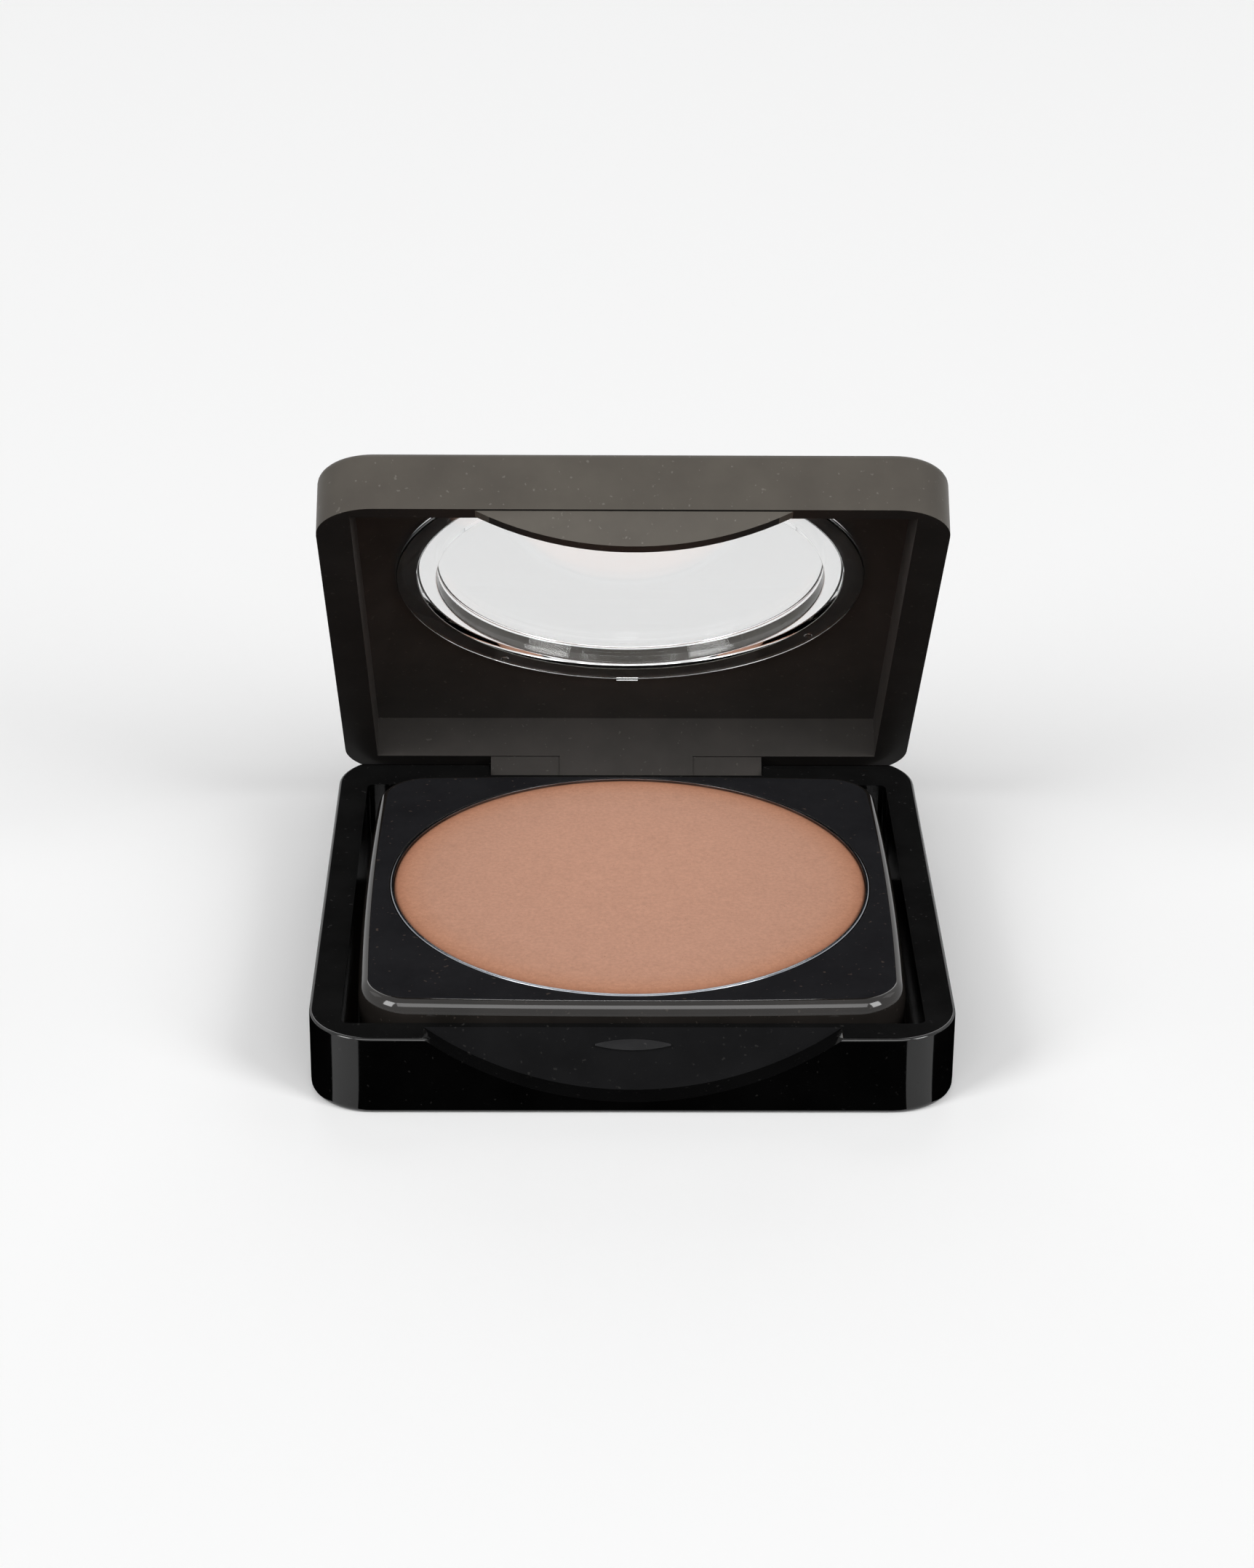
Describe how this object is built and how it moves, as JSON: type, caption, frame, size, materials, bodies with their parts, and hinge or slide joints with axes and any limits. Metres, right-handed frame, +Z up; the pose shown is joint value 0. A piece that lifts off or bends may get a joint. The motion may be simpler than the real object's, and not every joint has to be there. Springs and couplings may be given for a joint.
{
  "type": "powder compact",
  "caption": "Small square powder compact: a hinged lid with a round clear window closes over a tray that holds a round pan of pressed powder.",
  "frame": {"origin": "middle of the base's underside, on the surface that it stands on", "axes": "+Z up, -Y towards the front with the thumb scoop, +X to the right seen from the front"},
  "size_m": [0.048, 0.0525, 0.0439],
  "materials": {
    "base_shell": "glossy black",
    "lid_shell": "satin black",
    "pan_tray": "matte deck with a glossy edge",
    "tray_adhesive": "translucent",
    "pan_adhesive": "translucent",
    "powder_pan": "bright",
    "pressed_powder": "matte pressed powder",
    "hinge_pin_left": "plain steel",
    "hinge_pin_right": "plain steel",
    "window_lens": "clear, polished"
  },
  "bodies": {
    "base": {"base_shell": "base_shell", "pan_tray": "pan_tray", "tray_adhesive": "tray_adhesive", "pan_adhesive": "pan_adhesive", "powder_pan": "powder_pan", "pressed_powder": "pressed_powder", "hinge_pin_left": "hinge_pin_left", "hinge_pin_right": "hinge_pin_right"},
    "lid": {"lid_shell": "lid_shell", "window_lens": "window_lens"}
  },
  "joints": [
    {"name": "lid_hinge", "type": "hinge", "parent": "base", "child": "lid", "pos_m": [0, 0.0226, 0.0048], "axis": [-1, 0, 0], "range_deg": [-48.8, 46.2]}
  ]
}
